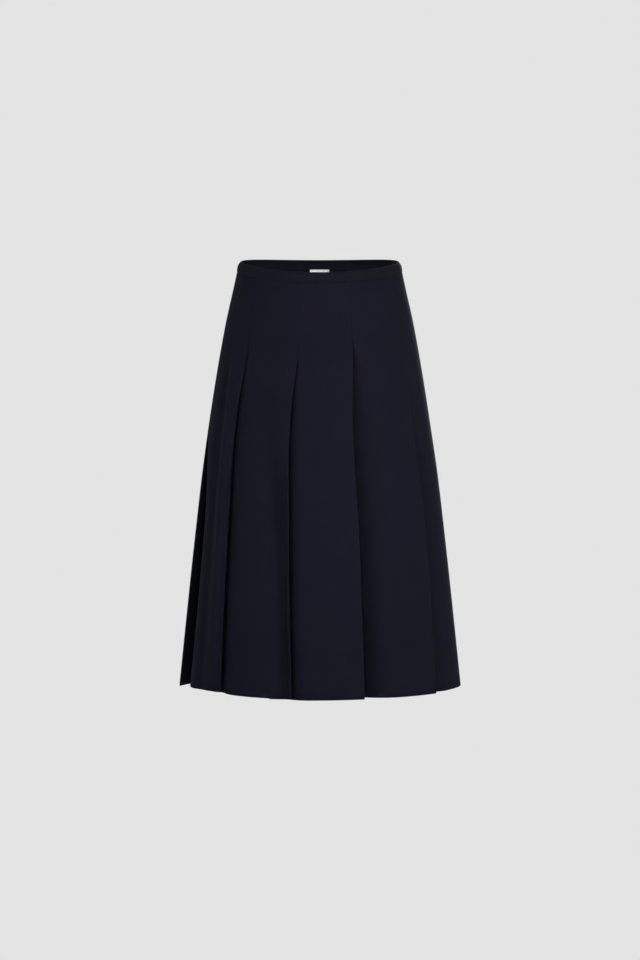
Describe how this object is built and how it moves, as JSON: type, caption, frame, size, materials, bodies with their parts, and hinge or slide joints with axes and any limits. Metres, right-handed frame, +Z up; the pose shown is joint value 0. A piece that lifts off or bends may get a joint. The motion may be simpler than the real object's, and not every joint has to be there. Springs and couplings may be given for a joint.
{
  "type": "pleated midi skirt",
  "caption": "Flared midi skirt, filled out as worn: knife pleats open below a smooth hip, a narrow waistband and a concealed side zip. Hollow from waist to hem.",
  "frame": {"origin": "middle of the waist opening, level with the side-waist line about 3 mm below the waistband's upper edge at the sides", "axes": "+Z up towards the waist opening, the centre front faces -Y, +X is the wearer's left side"},
  "size_m": [0.4744, 0.3563, 0.7205],
  "materials": {
    "skirt_cloth": "matte midnight-navy crepe with a faint soft sheen",
    "band_cloth": "the same crepe, interfaced and pressed",
    "label_satin": "blank white woven satin",
    "zip_tape": "navy woven zip tape",
    "zip_metal": "navy lacquered metal"
  },
  "bodies": {
    "skirt": {"gore_01_right_side": "skirt_cloth", "gore_02_front_right": "skirt_cloth", "gore_03_front_centre_right": "skirt_cloth", "gore_04_front_centre_left": "skirt_cloth", "gore_05_front_left": "skirt_cloth", "gore_06_left_side": "skirt_cloth", "gore_07_back_left": "skirt_cloth", "gore_08_back_centre_left": "skirt_cloth", "gore_09_back_centre_right": "skirt_cloth", "gore_10_back_right": "skirt_cloth", "waistband_front": "band_cloth", "waistband_back": "band_cloth", "label_blank": "label_satin", "zip_tape": "zip_tape", "zip_slider": "zip_metal"},
    "zip_pull": {"zip_pull": "zip_metal"}
  },
  "joints": [
    {"name": "zip_pull_swing", "type": "hinge", "parent": "skirt", "child": "zip_pull", "pos_m": [0.13674, 0.02723, -0.00524], "axis": [0.3449, -0.9386, 0], "range_deg": [0, 150]}
  ]
}
